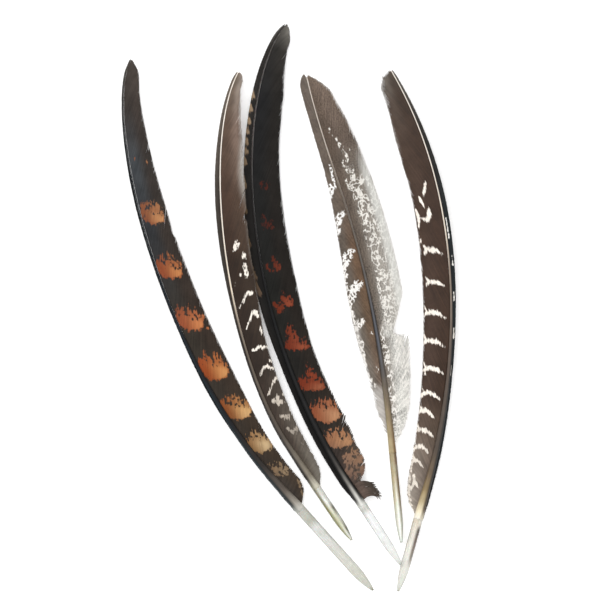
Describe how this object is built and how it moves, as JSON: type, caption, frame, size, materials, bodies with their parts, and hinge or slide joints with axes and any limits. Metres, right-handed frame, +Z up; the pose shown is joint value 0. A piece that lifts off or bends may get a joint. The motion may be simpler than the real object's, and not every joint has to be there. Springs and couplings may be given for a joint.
{
  "type": "quill pens",
  "caption": "Uncut game-bird wing quills in a loose fan: hollow clear barrels and curved shafts with barred and spotted webs, ready to be cut into pens.",
  "frame": {"origin": "centre of the whole set, on the surface that it lies on", "axes": "+Z up, +Y towards the heads of the feathers, +X towards the barred brown quill"},
  "size_m": [0.1335, 0.2263, 0.0098],
  "materials": {
    "barrel_horn": "translucent whitish horn (keratin), smooth with a soft gloss",
    "dried_pulp": "thin dried membrane, matt",
    "pith": "fine white foam, matt",
    "dark_long_shaft": "solid horn (keratin), satin",
    "dark_long_web": "web of fine barbs, silky",
    "brown_slim_shaft": "solid horn (keratin), satin",
    "brown_slim_web": "web of fine barbs, silky",
    "dark_broad_shaft": "solid horn (keratin), satin",
    "dark_broad_web": "web of fine barbs, silky",
    "marbled_shaft": "solid horn (keratin), satin",
    "marbled_web": "web of fine barbs, silky",
    "brown_barred_shaft": "solid horn (keratin), satin",
    "brown_barred_web": "web of fine barbs, silky"
  },
  "bodies": {
    "dark_long": {"dark_long_barrel": "barrel_horn", "dark_long_foot_plug": "dried_pulp", "dark_long_dried_cups": "dried_pulp", "dark_long_shaft": "dark_long_shaft", "dark_long_pith": "pith", "dark_long_wide_web": "dark_long_web", "dark_long_narrow_web": "dark_long_web"},
    "brown_slim": {"brown_slim_barrel": "barrel_horn", "brown_slim_foot_plug": "dried_pulp", "brown_slim_dried_cups": "dried_pulp", "brown_slim_shaft": "brown_slim_shaft", "brown_slim_pith": "pith", "brown_slim_wide_web": "brown_slim_web", "brown_slim_narrow_web": "brown_slim_web"},
    "dark_broad": {"dark_broad_barrel": "barrel_horn", "dark_broad_foot_plug": "dried_pulp", "dark_broad_dried_cups": "dried_pulp", "dark_broad_shaft": "dark_broad_shaft", "dark_broad_pith": "pith", "dark_broad_wide_web": "dark_broad_web", "dark_broad_narrow_web": "dark_broad_web", "dark_broad_loose_tuft": "dark_broad_web"},
    "marbled": {"marbled_barrel": "barrel_horn", "marbled_foot_plug": "dried_pulp", "marbled_dried_cups": "dried_pulp", "marbled_shaft": "marbled_shaft", "marbled_pith": "pith", "marbled_wide_web": "marbled_web", "marbled_narrow_web": "marbled_web", "marbled_lower_web": "marbled_web"},
    "brown_barred": {"brown_barred_barrel": "barrel_horn", "brown_barred_foot_plug": "dried_pulp", "brown_barred_dried_cups": "dried_pulp", "brown_barred_shaft": "brown_barred_shaft", "brown_barred_pith": "pith", "brown_barred_wide_web": "brown_barred_web", "brown_barred_narrow_web": "brown_barred_web"}
  },
  "joints": [
    {"name": "dark_long_lift", "type": "slide", "parent": "brown_barred", "child": "dark_long", "axis": [0, 0, 1], "range_m": [0, 0.08]},
    {"name": "dark_broad_lift", "type": "slide", "parent": "brown_barred", "child": "dark_broad", "axis": [0, 0, 1], "range_m": [0, 0.08]},
    {"name": "brown_slim_lift", "type": "slide", "parent": "dark_broad", "child": "brown_slim", "axis": [0, 0, 1], "range_m": [0, 0.08]},
    {"name": "marbled_lift", "type": "slide", "parent": "brown_barred", "child": "marbled", "axis": [0, 0, 1], "range_m": [0, 0.08]}
  ]
}
